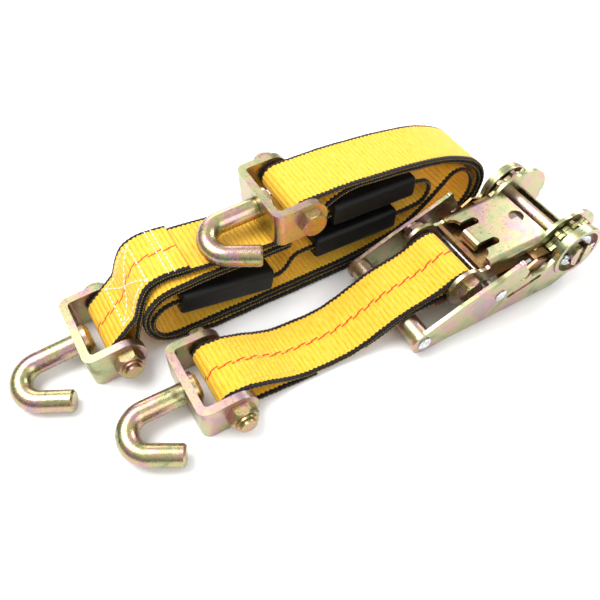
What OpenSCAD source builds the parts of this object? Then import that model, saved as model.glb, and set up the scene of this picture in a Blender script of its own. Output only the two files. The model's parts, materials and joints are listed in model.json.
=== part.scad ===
// Two inch ratchet strap set: a fixed-end strap with its ratchet buckle, and a
// loosely folded wheel strap with three rubber blocks, both with swivel J-hooks.
// Millimetres, +Z up. The set lies on a flat surface at z = 0, the origin is under
// the middle of its outline, and the straps run along X.

/* [Webbing] */
// Width of the polyester webbing
web_w = 50; // [48:0.5:51]
// Thickness of one ply of webbing
web_t = 2.6; // [2:0.1:2.8]

/* [Swivel J-hook] */
// Diameter of the bent hook rod
rod_d = 16; // [14:0.5:17]
// Straight shank outside the yoke before the bend starts
shank_len = 30; // [26:1:34]
// Bend radius of the hook, to the middle of the rod
bend_r = 16; // [15:0.5:17]
// Straight point of the hook after the bend
point_len = 24; // [20:1:26]
// How far the point opens out from the shank, in degrees
point_flare = 28; // [15:1:29]
// Diameter of the upset head that holds the hook in its yoke
head_d = 25; // [20:1:26]

/* [Yoke] */
// Clear width between the two ears
yoke_in = 53; // [52:0.5:54]
// Thickness of the yoke strip
yoke_t = 6; // [4:0.5:6]
// Width of the yoke strip
yoke_h = 29; // [26:1:29]
// Bolt axis to the outer face of the yoke's base
yoke_reach = 28; // [26:1:30]
// Diameter of the hexagon bolts
bolt_d = 12; // [10:0.5:12]
// Width across the flats of bolt heads and nuts
hex_af = 19; // [17:1:19]
// Outer diameter of the sleeve that the webbing bears on
sleeve_d = 16; // [15.5:0.25:16]

/* [Rubber blocks] */
// Length of a rubber block along the webbing
block_len = 76; // [60:1:76]
// Width of a rubber block
block_w = 58; // [56:0.5:60]
// Height of a rubber block
block_h = 20; // [16:0.5:20.5]

/* [Ratchet frame] */
// Clear width between the cheeks
cheek_in = 52; // [51.6:0.2:52.4]
// Thickness of the frame's pressed plate
plate_t = 3; // [2.5:0.25:3]
// Diameter of the round hole through the frame's web
hole_d = 12; // [8:0.5:14]

/* [Ratchet handle and spindle] */
// Half of the handle's width, to the outside of its plates
handle_half = 44; // [43.75:0.25:44.5]
// Diameter of the pair of spindle halves
spindle_d = 20; // [18:0.5:20]
// Gap between the halves that the webbing threads through
spindle_slot = 5; // [4.5:0.25:5.5]
// Number of teeth on each ratchet wheel
teeth = 10; // [10:10:20]

/* [Hidden] */
$fn = 48;
eps = 0.01;

// The layout below is written from one corner point of the set. These two shifts
// put the origin under the middle of its outline.
origin_x = 3;
origin_y = -3;

// Where the parts stand: [x, y, z] of the three yoke bolts, and each yoke's pitch
bolt_at = [[-140, 36, 16.5], [-89, -41, 14.5], [15, 43, 73]];
yoke_pitch = [4, 0, 2];
// The hooks hang a little about their shanks, so their points rest on something
hook_hang = 7;

// Where the ratchet stands; its own frame has z = 0 a little above the floor
rat_x = -6.5;
rat_y = -46;
rat_z = 8;
// Anchor bolt axis and spindle axis in the ratchet's frame
anchor_x = 106;
anchor_z = 26;
spin_x = 203;
spin_z = 27;

gap = 0.3;
loop_r = sleeve_d / 2 + gap + 0.05 + web_t / 2;
cheek_out = cheek_in / 2 + plate_t;
web_top = 42;
web_x0 = 126;
web_x1 = 183;

zinc = [0.78, 0.74, 0.52];
zinc_dark = [0.62, 0.55, 0.36];
silver = [0.80, 0.80, 0.80];
yellow = [0.95, 0.72, 0.12];
black = [0.07, 0.07, 0.08];

// ---- small helpers -------------------------------------------------------

// Moves a piece from the layout into the object's own frame
module laid() { translate([-origin_x, -origin_y, 0]) children(); }

// A cylinder along Y that starts at y0
module rod_y(d, y0, len) { translate([0, y0 + len, 0]) rotate([90, 0, 0]) cylinder(d = d, h = len); }

// A flat plate in the XZ plane from y0 to y0 + t
module plate_y(y0, t) { translate([0, y0 + t, 0]) rotate([90, 0, 0]) linear_extrude(t) children(); }

// A rounded rectangle centred on the origin
module round_rect(w, h, r) {
    square([w - 2 * r, h], center = true);
    square([w, h - 2 * r], center = true);
    for (sx = [-1, 1], sy = [-1, 1]) translate([sx * (w / 2 - r), sy * (h / 2 - r)]) circle(r);
}

// A slot with round ends from a to b
module slot_2d(a, b, w) {
    d = b - a;
    translate(a) circle(d = w, $fn = 32);
    translate(b) circle(d = w, $fn = 32);
    translate(a) rotate(atan2(d[1], d[0])) translate([0, eps - w / 2]) square([norm(d), w - 2 * eps]);
}

// ---- webbing -------------------------------------------------------------

// Points of an arc in the XZ plane: [x, y, z] from angle a0 to a1
function arc_pts(cx, cy, cz, r, a0, a1, n) =
    [for (i = [0:n]) let (a = a0 + (a1 - a0) * i / n) [cx + r * cos(a), cy, cz + r * sin(a)]];

// A smooth curve through the points, with n steps in each span
function curve_pt(p0, p1, p2, p3, t) =
    0.5 * (2 * p1 + (p2 - p0) * t + (2 * p0 - 5 * p1 + 4 * p2 - p3) * t * t
    + (3 * p1 - p0 - 3 * p2 + p3) * t * t * t);
function smooth(p, n) = let (m = len(p) - 1) concat(
    [for (i = [0:m - 1], k = [0:n - 1])
        curve_pt(p[max(i - 1, 0)], p[i], p[i + 1], p[min(i + 2, m)], k / n)],
    [p[m]]);

// Direction of the strap at point i, in the XZ plane
function run_at(p, i) = let (d = p[min(i + 1, len(p) - 1)] - p[max(i - 1, 0)],
    l = sqrt(d[0] * d[0] + d[2] * d[2])) [d[0] / l, d[2] / l];

// One ply of webbing swept along the points, its width along Y
module ribbon(p, w, t) {
    m = len(p);
    pts = [for (i = [0:m - 1]) let (u = run_at(p, i), n = [-u[1], 0, u[0]] * t / 2, s = [0, w / 2, 0])
        each [p[i] + n - s, p[i] + n + s, p[i] - n + s, p[i] - n - s]];
    sides = [for (i = [0:m - 2], k = [0:3]) let (a = 4 * i + k, b = 4 * i + (k + 1) % 4)
        each [[a, a + 4, b + 4], [a, b + 4, b]]];
    ends = [[0, 1, 2], [0, 2, 3], [4 * m - 4, 4 * m - 2, 4 * m - 3], [4 * m - 4, 4 * m - 1, 4 * m - 2]];
    polyhedron(points = pts, faces = concat(sides, ends), convexity = 12);
}

fy = bolt_at[1][1];
b2 = bolt_at[1];
// The front strap drifts sideways a little on its way from the hook to the ratchet
function front_y(x) = fy + (rat_y - fy) * max(0, min(1, (x + 60) / 140));
function front_pts(p) = [for (q = p) [q[0], front_y(q[0]), q[1]]];
// Front strap: tail under the hook's loop, round the yoke sleeve, along the floor,
// over the handle's grip, round the ratchet's anchor sleeve, and back under itself
front_start = smooth(front_pts([[-24, 1.5], [-44, 1.7], [-62, 2.6], [-78, 4.3]]), 3);
front_main = smooth(front_pts([[-76, 22.6], [-62, 16.6], [-48, 9.6], [-35, 5.4], [-22, 4.6],
    [-8, 4.4], [6, 6.4], [20, 11.6], [34, 18.8], [45, 24.4], [54, 27.4], [64, 30], [76, 33.8],
    [86, 38.9], [92, 42.1]]), 3);
front_end = smooth(front_pts([[91, 24.6], [81, 25.6], [70, 25.8], [62, 25.2], [54, 24.3], [45, 21.3],
    [34, 15.7], [24, 10.4], [16, 7.2]]), 3);
front_route = concat(front_start,
    arc_pts(b2[0], fy, b2[2], loop_r, 270, 90, 16), front_main,
    arc_pts(anchor_x + rat_x, rat_y, anchor_z + rat_z, loop_r, 90, -90, 16), front_end);

b1 = bolt_at[0];
b3 = bolt_at[2];
// Long strap, in the order that one would unfold it: the sewn loop of hook 1, up over
// the crest and through the three rubber blocks, then folded back and forth
// underneath, and last over the bolt of the sliding hook with its free tail
long_a = smooth([[-77, 46, 60.1], [-90, 47, 60.6], [-101, 47, 60.2], [-111, 46, 57], [-118, 43, 50.2],
    [-124, 39, 40]], 3);
long_b = smooth([[-121.4, 39, 38.2], [-115.6, 43, 48], [-109, 46, 54], [-99, 47, 57], [-84, 46, 57.1],
    [-66, 45, 56.2], [-45, 44, 54.6], [-25, 44, 53], [-8, 43, 52], [8, 43, 52.2], [20, 43, 54.4],
    [30, 43, 57.6]], 3);
block_c = [[38, 43, 59.6], [119, 43, 56.8]];
long_c = smooth([[128, 42, 55], [133, 42, 48.5], [133, 42, 41], [127, 41, 34.5], [117, 41, 32]], 3);
block_b = [[106, 41, 31.4], [14, 41, 34.6]];
long_d = smooth([[8, 41, 34.2], [3, 41, 31.2], [-1, 40, 26.6], [-5, 40, 22.6]], 3);
block_a = [[-10, 40, 20.4], [-96, 40, 38.2]];
long_e = smooth([[-103, 39, 38.4], [-110, 38, 35], [-114, 38, 28], [-114, 37, 20], [-110, 37, 12],
    [-103, 37, 8.6], [-92, 37, 7.8], [-60, 37, 7.8], [-20, 37, 7.8], [20, 37, 7.8], [60, 37, 9],
    [85, 38, 11.6], [104, 38, 16], [121, 39, 24], [135, 40, 33.4], [147, 41, 43], [157, 42, 49.4],
    [167, 42, 50], [175, 41, 44], [179, 40, 34], [177, 39, 22], [169, 38, 13.6], [156, 37, 9.4],
    [138, 36, 8], [120, 36, 6.6], [102, 36, 4.7], [60, 36, 4.7], [0, 36, 4.7], [-50, 36, 4.7]], 3);
long_f = smooth([[-70, 41, 48.6], [-45, 42, 46.2], [-20, 42, 44.6], [-4, 42, 44.8]], 3);
long_g = smooth([[-4, 42, 48.3], [-20, 42, 47.9], [-45, 42, 49.5], [-70, 41, 51.8]], 3);
long_h = smooth([[-70, 34, 1.5], [0, 34, 1.5], [70, 34, 1.5], [120, 34, 1.5], [148, 35, 1.6],
    [164, 36, 3.6], [178, 37, 9.6], [187, 38, 20], [190.5, 39, 33], [187, 40, 45], [178, 41, 55],
    [165, 41, 63], [148, 42, 69.4], [130, 42, 73.8], [107, 42, 77.6], [80, 42, 80.6], [52, 43, 82.2],
    [28, 43, 82.6]], 3);
long_i = smooth([[22, 43, 64.2], [29, 43, 67.6], [38, 43, 72.9], [48, 43, 76.5], [60, 43, 78],
    [80, 42, 77.2], [107, 42, 74.2], [130, 42, 70.3], [148, 42, 65.8], [163, 41, 59.8], [175, 41, 52.4],
    [183, 40, 43.6], [186.5, 39, 33], [183.4, 38, 21.6], [175.4, 37, 12.6], [162, 36, 6.6],
    [147, 35, 4.8], [126, 34, 4.7]], 3);
long_route = concat(long_a,
    arc_pts(b1[0], b1[1], b1[2], loop_r, 126, 338, 16), long_b, block_c, long_c, block_b, long_d,
    block_a, long_e, arc_pts(-94, 38, 27.6, 22.9, 270, 90, 16), long_f,
    arc_pts(1, 42, 46.55, 1.75, -90, 90, 8), long_g,
    arc_pts(-94, 38, 27.6, 26.1, 90, 270, 16), long_h,
    arc_pts(b3[0], b3[1], b3[2], loop_r, 90, 270, 16), long_i);

module front_webbing() { color(yellow) laid() ribbon(front_route, web_w, web_t); }
module long_webbing() { color(yellow) laid() ribbon(long_route, web_w, web_t); }

// ---- swivel J-hooks, yokes and their bolts ---------------------------------

neck_d = 12;
// Places a child from the yoke's own frame: bolt axis on Y, base towards -X
module at_bolt(i) { laid() translate(bolt_at[i]) rotate([0, -yoke_pitch[i], 0]) children(); }

// The U-shaped yoke: outline seen from above, cut to round ears from the side
module yoke(i) {
    out = yoke_in / 2 + yoke_t;
    r = 7;
    color(zinc) at_bolt(i) difference() {
        intersection() {
            translate([0, 0, -yoke_h / 2]) linear_extrude(yoke_h) difference() {
                union() {
                    translate([-yoke_reach + r, -out]) square([yoke_reach - r + yoke_h / 2, 2 * out]);
                    translate([-yoke_reach, -out + r]) square([r + eps, 2 * (out - r)]);
                    for (s = [-1, 1]) translate([-yoke_reach + r, s * (out - r)]) circle(r);
                }
                translate([-yoke_reach + yoke_t + 3, -yoke_in / 2]) square([80, yoke_in]);
                translate([-yoke_reach + yoke_t, -yoke_in / 2 + 3]) square([80, yoke_in - 6]);
                for (s = [-1, 1]) translate([-yoke_reach + yoke_t + 3, s * (yoke_in / 2 - 3)]) circle(3);
            }
            plate_y(-out - 1, 2 * out + 2) union() {
                circle(d = yoke_h);
                translate([-yoke_reach - 1, -yoke_h / 2]) square([yoke_reach + 1, yoke_h]);
            }
        }
        rod_y(bolt_d + 0.5, -out - 1, 2 * out + 2);
        translate([-yoke_reach - 1, 0, 0]) rotate([0, 90, 0]) cylinder(d = neck_d + 0.2, h = yoke_t + 2);
    }
}

// The hook: upset head inside the yoke, neck through its base, bent rod outside
module hook(i) {
    color(zinc) at_bolt(i) translate([-yoke_reach, 0, 0]) rotate([hook_hang, 0, 0]) {
        translate([yoke_t + 0.2, 0, 0]) rotate([0, 90, 0]) {
            cylinder(d = head_d, h = 3);
            translate([0, 0, 3]) cylinder(d1 = head_d, d2 = head_d - 8, h = 2.6);
        }
        translate([-0.3, 0, 0]) rotate([0, 90, 0]) cylinder(d = neck_d, h = yoke_t + 1);
        translate([-shank_len, 0, 0]) rotate([0, 90, 0]) cylinder(d = rod_d, h = shank_len - 0.2);
        translate([-shank_len, -bend_r, 0]) rotate([0, 0, 90]) {
            rotate_extrude(angle = 180 - point_flare) translate([bend_r, 0]) circle(d = rod_d);
            rotate([0, 0, 180 - point_flare]) translate([bend_r, -eps, 0]) rotate([-90, 0, 0]) {
                cylinder(d = rod_d, h = point_len - 1.5);
                translate([0, 0, point_len - 1.5 - eps]) cylinder(d1 = rod_d, d2 = rod_d - 3, h = 1.5);
            }
        }
    }
}

// Hexagon bolt along Y with its head at the side s (-1 near, 1 far), grip between the ears
module hex_bolt(s, half, tail) {
    head = 7.5;
    rotate([0, 0, s > 0 ? 0 : 180]) {
        rod_y(bolt_d, -half - tail, 2 * half + tail);
        translate([0, half + 0.1 + head, 0]) rotate([90, 0, 0]) intersection() {
            cylinder(d = hex_af / cos(30), h = head, $fn = 6);
            union() {
                cylinder(d1 = hex_af - 1, d2 = hex_af + 5, h = 3);
                translate([0, 0, 3]) cylinder(d = hex_af + 5, h = head - 3);
            }
        }
        rod_y(bolt_d, half - 1, 1.6);
    }
}

// Lock nut with its crimped collar outwards, on the side opposite the bolt's head
module lock_nut(s, half) {
    rotate([0, 0, s > 0 ? 0 : 180]) translate([0, -half - 0.1, 0]) rotate([90, 0, 0]) difference() {
        union() {
            intersection() {
                cylinder(d = hex_af / cos(30), h = 9, $fn = 6);
                translate([0, 0, -1]) cylinder(d1 = hex_af + 12, d2 = hex_af - 0.6, h = 10.1);
            }
            translate([0, 0, 9 - eps]) cylinder(d = hex_af - 3, h = 2);
        }
        translate([0, 0, -1]) cylinder(d = bolt_d + 0.1, h = 14);
    }
}

module sleeve(len) {
    difference() {
        rod_y(sleeve_d, -len / 2, len);
        rod_y(bolt_d + 0.4, -len / 2 - 1, len + 2);
    }
}

yoke_half = yoke_in / 2 + yoke_t;
// Side of each yoke that the bolt's head is on: hooks 1 and 2 show their nuts in front
head_side = [1, 1, -1];
module yoke_bolt(i) { color(zinc) at_bolt(i) hex_bolt(head_side[i], yoke_half, 13.5); }
module yoke_nut(i) { color(zinc_dark) at_bolt(i) lock_nut(head_side[i], yoke_half); }
module yoke_sleeve(i) { color(zinc_dark) at_bolt(i) sleeve(yoke_in - 0.4); }

// ---- rubber blocks ---------------------------------------------------------

// Middle of a straight run of webbing, and its slope in degrees
function middle(run) = (run[0] + run[1]) / 2;
function slope(run) = let (d = run[1] - run[0]) atan(d[2] / d[0]);

block_run = [block_a, block_b, block_c];
// How far each block stands from the middle of its straight run
block_shift = [-1, 0, -2];
module rubber_block(i) {
    run = block_run[i];
    color(black) laid() translate(middle(run)) rotate([0, -slope(run), 0]) translate([block_shift[i], 0, 0])
        rotate([90, 0, 90]) translate([0, 0, -block_len / 2]) linear_extrude(block_len) difference() {
            round_rect(block_w, block_h, 4);
            round_rect(web_w + 1.4, web_t + 1.4, 1);
        }
}

// ---- ratchet frame -----------------------------------------------------------

// Places a child in the ratchet's middle plane
module in_ratchet() { laid() translate([rat_x, rat_y, rat_z]) children(); }

// Outline of one cheek: anchor end, low waist and the raised ear round the spindle
module cheek_2d() {
    difference() {
        union() {
            translate([anchor_x, anchor_z - 0.5]) circle(16);
            translate([spin_x + 5, spin_z - 0.5]) circle(26);
            translate([spin_x - 5, spin_z]) circle(25);
            polygon([[anchor_x, 11], [anchor_x + 11, 14.5], [123, 23], [174, 23], [188, 12], [200, 8],
                [200, 46], [190, web_top - 2], [186, web_top - 5], [web_x0, web_top - 5], [124, 36],
                [117, 37], [anchor_x + 4, 40]]);
        }
        translate([spin_x + 33, spin_z - 6]) circle(4);
        translate([spin_x, spin_z]) circle(d = spindle_d + 0.2);
        translate([anchor_x, anchor_z]) circle(d = bolt_d + 0.5);
        slot_2d([154, 31], [176, 31], 3.8);
    }
}

// Cross-section of the folded channel, in Y and Z; its legs are a hair thinner than
// the cheeks that they run into
module channel_2d() {
    r = 5;
    out = cheek_out - eps;
    inner = cheek_in / 2 + eps;
    difference() {
        union() {
            translate([-out + r, web_top - r]) square([2 * (out - r), r]);
            translate([-out, web_top - r - 2]) square([2 * out, 2 + eps]);
            for (s = [-1, 1]) translate([s * (out - r), web_top - r]) circle(r);
        }
        translate([-inner + 2, web_top - plate_t - 20]) square([2 * inner - 4, 20]);
        translate([-inner, web_top - r - 20]) square([2 * inner, 20]);
        for (s = [-1, 1]) translate([s * (inner - 2), web_top - r]) circle(2);
    }
}

// The tongue and the two finger slots either side of it
tongue_w = 17;
module web_cuts_2d() {
    for (s = [-1, 1]) {
        slot_2d([web_x0 - 6, s * (tongue_w / 2 + 3.6)], [143, s * (tongue_w / 2 + 3.6)], 7.2);
        translate([web_x0 - 1, s * (tongue_w / 2 + 6.4)]) circle(7.5);
    }
    translate([web_x0 - 6, -tongue_w / 2 - 1]) square([13, tongue_w + 2]);
    translate([175, 0]) circle(d = hole_d);
}

module ratchet_frame() {
    color(zinc) in_ratchet() {
        for (y = [-cheek_out, cheek_in / 2]) plate_y(y, plate_t) cheek_2d();
        difference() {
            translate([web_x0, 0, 0]) rotate([90, 0, 90]) linear_extrude(web_x1 - web_x0) channel_2d();
            translate([0, 0, web_top - 10]) linear_extrude(20) web_cuts_2d();
        }
        // Tongue: curves down from the web as the stop of the lock pawl's spring
        translate([133.1, tongue_w / 2, web_top - 5]) rotate([90, 0, 0])
            linear_extrude(tongue_w) difference() {
                union() {
                    intersection() {
                        circle(5);
                        translate([-10, 0]) square([10.1, 10]);
                    }
                    translate([-5, -2.4]) square([plate_t, 2.5]);
                }
                circle(5 - plate_t);
            }
    }
}

module anchor_bolt() {
    color(zinc) in_ratchet() translate([anchor_x, 0, anchor_z]) hex_bolt(-1, cheek_out, 11.4);
}
module anchor_nut() {
    color(zinc_dark) in_ratchet() translate([anchor_x, 0, anchor_z]) lock_nut(-1, cheek_out);
}
module anchor_sleeve() {
    color(zinc_dark) in_ratchet() translate([anchor_x, 0, anchor_z]) sleeve(cheek_in - 0.4);
}

// ---- lock pawl ----------------------------------------------------------------

wheel_in = 30;
wheel_t = 6.6;
wheel_out = wheel_in + wheel_t;
wheel_tip = 23.5;
wheel_root = 19.5;
pawl_t = 2.8;

// Sliding plate under the web, with its arms through both cheeks, a finger lip at
// the anchor end and an upright tab that the spring pushes on
module lock_pawl() {
    z0 = 31 - pawl_t / 2;
    nose_x = spin_x - wheel_tip - 0.5;
    color(zinc_dark) in_ratchet() {
        translate([0, 0, z0]) linear_extrude(pawl_t) {
            translate([124, -25.4]) square([nose_x - 11 - 124, 50.8]);
            for (s = [-1, 1]) translate([nose_x - 15, s * (wheel_out - 3.6) - 3.3]) square([14.4, 6.6]);
            for (s = [-1, 1]) translate([nose_x - 15, min(s * 25, s * (wheel_out - 0.6))])
                square([7, wheel_out - 25.6]);
        }
        plate_y(-25.4, 50.8) polygon([[124 + eps, z0], [124 + eps, z0 + pawl_t], [122.4, 37],
            [119.4, 36.4], [121, z0 + 1]]);
        plate_y(-4, 8) translate([150, z0 + 1]) square([2.5, 8.2]);
    }
}

// A coil spring along X: n turns of round wire from x0 to x1
module coil(x0, x1, r, wire, n) {
    steps = n * 14;
    ring = 6;
    pts = [for (i = [0:steps], k = [0:ring - 1])
        let (a = 360 * n * i / steps, b = 360 * k / ring, q = r + wire / 2 * cos(b))
        [x0 + (x1 - x0) * i / steps + wire / 2 * sin(b), q * cos(a), q * sin(a)]];
    faces = concat(
        [for (i = [0:steps - 1], k = [0:ring - 1]) let (a = i * ring + k, b = i * ring + (k + 1) % ring)
            each [[a, b, b + ring], [a, b + ring, a + ring]]],
        [[for (k = [0:ring - 1]) ring - 1 - k], [for (k = [0:ring - 1]) steps * ring + k]]);
    polyhedron(points = pts, faces = faces, convexity = 10);
}

module lock_pawl_spring() {
    color(silver) in_ratchet() translate([0, 0, 36]) coil(132.4, 149.2, 1.9, 0.8, 7);
}

// ---- spindle -------------------------------------------------------------------

slot_tilt = 90;
// Places a child on the spindle's axis, turned so that the slot lies along local X
module on_spindle() { in_ratchet() translate([spin_x, 0, spin_z]) rotate([0, -slot_tilt, 0]) children(); }

// One of the two D-shaped sections, s = 1 above the slot and -1 below it
module d_2d(s, grow) {
    intersection() {
        circle(d = spindle_d + 2 * grow);
        translate([-30, s > 0 ? spindle_slot / 2 - grow : -30 - spindle_slot / 2 + grow]) square([60, 30]);
    }
}

spindle_half_len = handle_half + 4.5;
cotter_y = handle_half + 1.2;
module spindle_half(s) {
    color(zinc) on_spindle() difference() {
        plate_y(-spindle_half_len, 2 * spindle_half_len) d_2d(s, 0);
        for (s = [-1, 1]) translate([0, s * cotter_y, -20]) cylinder(d = 3.6, h = 40);
    }
}

// Ratchet wheel of two laminations, each with the same sloped teeth
module wheel_2d() {
    difference() {
        union() {
            circle(wheel_root);
            for (k = [0:teeth - 1]) rotate(k * 360 / teeth) polygon([[wheel_root - 3, -5],
                [wheel_tip - 0.4, 1.4], [wheel_tip - 1, 4.6], [wheel_root - 3, 5.2]]);
        }
        for (s = [-1, 1]) d_2d(s, 0.15);
    }
}
module ratchet_wheel(s) {
    y0 = s > 0 ? wheel_in : -wheel_out;
    color(zinc) on_spindle() {
        plate_y(y0, 3) wheel_2d();
        plate_y(y0 + 3 - eps, 0.6 + 2 * eps) difference() {
            circle(16);
            for (s = [-1, 1]) d_2d(s, 0.15);
        }
        plate_y(y0 + 3.6, 3) wheel_2d();
    }
}

module spindle_washer(s) {
    color(silver) on_spindle() plate_y(s > 0 ? handle_half - 2.7 : 1.1 - handle_half, 1.6) difference() {
        circle(14.5);
        circle(d = spindle_d + 0.4);
    }
}

// Split pin through both halves, with its eye and its two opened legs
module cotter_pin(s) {
    color(silver) on_spindle() translate([0, s * cotter_y, 0]) {
        translate([0, 0, -12]) cylinder(d = 3.2, h = 24);
        translate([0, 0, 13.4]) rotate([90, 0, 0]) rotate_extrude($fn = 32) translate([2.4, 0]) circle(1.1);
        for (a = [-28, 28]) translate([0, 0, -11.6]) rotate([0, 180 + a, 0]) cylinder(d = 1.6, h = 5);
    }
}

// ---- handle --------------------------------------------------------------------

handle_t = 3;
head_r = 22.8;
grip_x = 60;
grip_z = 5.5;
grip_r = 8.6;
pin_x = 128.5;
pin_z = 19;
pull_x = 136.5;
pull_z = 11;
pawl_dir = atan((spin_z - pull_z) / (spin_x - pull_x));

// Outline of a handle plate: round grip end, deep middle, pocket for the drive pawl
// and the round head on the spindle
module handle_2d() {
    difference() {
        union() {
            translate([grip_x, grip_z]) circle(10.5);
            translate([spin_x, spin_z]) circle(head_r);
            translate([143, 43.6]) circle(3);
            polygon([[grip_x + 0.5, grip_z - 10.3], [112, -4.4], [188, -4.6], [212, 6.2], [spin_x, 42],
                [186, 40], [179, 29], [172, 23], [158, 23.5], [152, 33], [145.5, 43], [142.4, 45.9],
                [124, 39], [90, 28], [grip_x - 1.5, grip_z + 10.2]]);
        }
        slot_2d([139, 11.6], [167, 18.3], 3.9);
        translate([150, 29]) difference() {
            circle(5);
            translate([-2.5, 2.5]) circle(5);
        }
    }
}

// A handle plate: flat outline, with a cup round the spindle that is pressed inwards
module handle_plate(s) {
    low = handle_half - 2 * handle_t;
    high = handle_half - handle_t;
    color(zinc) in_ratchet() {
        plate_y(s > 0 ? high : -handle_half, handle_t) difference() {
            handle_2d();
            translate([spin_x, spin_z]) circle(20.6);
            translate([grip_x, grip_z]) circle(d = 8.2);
            translate([pin_x, pin_z]) circle(d = 7.2);
        }
        translate([spin_x, 0, spin_z]) rotate([s > 0 ? -90 : 90, 0, 0]) rotate_extrude()
            polygon([[spindle_d / 2 + 0.1, low], [22.4, low], [22.4, handle_half + 1.2],
                [19, handle_half + 1.2], [19, high], [spindle_d / 2 + 0.1, high]]);
    }
}

// Pressed grip between the plates: a tube with an open seam on its underside
module grip_channel() {
    len = 2 * (handle_half - handle_t) - 0.2;
    color(zinc) in_ratchet() translate([grip_x, 0, grip_z]) rotate([90, 0, 0])
        translate([0, 0, -len / 2]) linear_extrude(len) difference() {
            circle(grip_r);
            circle(grip_r - 2.2);
            translate([2, -20]) square([5, 20]);
        }
}

module riveted_bar(d, head, rise) {
    rod_y(d, -handle_half - 0.3, 2 * handle_half + 0.6);
    for (s = [-1, 1]) translate([0, s * (handle_half + 0.1), 0]) rotate([s > 0 ? -90 : 90, 0, 0]) {
        cylinder(d = head, h = rise / 2);
        translate([0, 0, rise / 2 - eps]) cylinder(d1 = head, d2 = head - 4, h = rise / 2);
    }
}

module grip_rivet() {
    color(silver) in_ratchet() translate([grip_x, 0, grip_z]) riveted_bar(8, 11, 2);
}
module handle_cross_pin() {
    color(silver) in_ratchet() translate([pin_x, 0, pin_z]) riveted_bar(7, 10, 1.6);
}

// Places a child on the drive pawl's line, with local X towards the spindle
module on_pawl() { translate([pull_x, 0, pull_z]) rotate([0, -pawl_dir, 0]) children(); }

// Drive pawl: a plate with its ends in both guide slots, two noses for the wheels,
// a flat finger tab that is pulled to fold the handle and a tab for its spring
module drive_pawl() {
    nose = norm([spin_x - pull_x, spin_z - pull_z]) - wheel_tip - 0.6;
    color(zinc_dark) in_ratchet() {
        on_pawl() {
            translate([0, 0, -pawl_t / 2]) linear_extrude(pawl_t) {
                translate([7, -handle_half + 0.4]) square([16, 2 * handle_half - 0.8]);
                translate([-15, -20]) square([23, 40]);
                for (s = [-1, 1]) translate([20, s * (wheel_in + wheel_t / 2) - 3]) square([nose - 20, 6]);
            }
            plate_y(-4, 8) translate([12, 1]) square([2.4, 7.5]);
        }
        translate([90, -20, 4]) cube([30, 40, 2.4]);
        for (s = [-1, 1]) translate([90.5, s * 12, 5.2]) cylinder(d = 16, h = 2.4, center = true);
        plate_y(-20, 40) polygon([[117, 4.1], [120, 4.1], [123.5, 6.8], [123, 9], [120, 8.4], [117, 6.3]]);
        // Side wings that cover the wheels' teeth beside the pocket of each handle plate
        for (s = [-1, 1]) plate_y(s * 38.8 - 1, 2)
            polygon([[148, 14], [164, 18], [171, 22], [175, 30], [164, 34.5], [155, 29]]);
    }
}

module drive_pawl_spring() {
    color(silver) in_ratchet() on_pawl() translate([0, 0, 4.4]) coil(-2.4, 11.6, 1.9, 0.8, 6);
}

front_webbing();
long_webbing();
hook(0);  // hook_1
hook(1);  // hook_2
hook(2);  // hook_3
yoke(0);  // yoke_1
yoke(1);  // yoke_2
yoke(2);  // yoke_3
yoke_bolt(0);  // yoke_bolt_1
yoke_bolt(1);  // yoke_bolt_2
yoke_bolt(2);  // yoke_bolt_3
yoke_nut(0);  // yoke_nut_1
yoke_nut(1);  // yoke_nut_2
yoke_nut(2);  // yoke_nut_3
yoke_sleeve(0);  // yoke_sleeve_1
yoke_sleeve(1);  // yoke_sleeve_2
yoke_sleeve(2);  // yoke_sleeve_3
rubber_block(0);  // rubber_block_1
rubber_block(1);  // rubber_block_2
rubber_block(2);  // rubber_block_3
ratchet_frame();
anchor_bolt();
anchor_nut();
anchor_sleeve();
lock_pawl();
lock_pawl_spring();
spindle_half(1);  // spindle_half_a
spindle_half(-1);  // spindle_half_b
ratchet_wheel(-1);  // ratchet_wheel_near
ratchet_wheel(1);  // ratchet_wheel_far
spindle_washer(-1);  // spindle_washer_near
spindle_washer(1);  // spindle_washer_far
cotter_pin(-1);  // cotter_pin_near
cotter_pin(1);  // cotter_pin_far
handle_plate(-1);  // handle_plate_near
handle_plate(1);  // handle_plate_far
grip_channel();
grip_rivet();
handle_cross_pin();
drive_pawl();
drive_pawl_spring();
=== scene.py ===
"""Looks of a two inch ratchet strap set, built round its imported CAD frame.

The hard parts keep their CAD solids and get their plated finishes here. The webbing,
its stitching, the rubber blocks and the coil springs are made in this script.
"""

import json
import math
from functools import partial

import bmesh
import bpy
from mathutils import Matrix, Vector


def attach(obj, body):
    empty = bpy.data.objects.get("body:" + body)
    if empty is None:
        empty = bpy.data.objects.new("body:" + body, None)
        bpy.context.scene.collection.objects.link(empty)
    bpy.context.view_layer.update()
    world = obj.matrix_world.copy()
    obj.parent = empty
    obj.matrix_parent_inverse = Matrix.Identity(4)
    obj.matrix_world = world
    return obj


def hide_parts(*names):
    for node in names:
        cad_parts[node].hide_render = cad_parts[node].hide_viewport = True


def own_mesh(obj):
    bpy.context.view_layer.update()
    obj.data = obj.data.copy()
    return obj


bl_info = {
    "name": "Ratchet strap set",
    "version": (1, 0, 0),
    "blender": (4, 5, 0),
    "location": "3D View > Sidebar > Strap set",
    "description": "Webbing, stitching, rubber blocks, springs and plated finishes of a tie-down set",
    "category": "Object",
}

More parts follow.
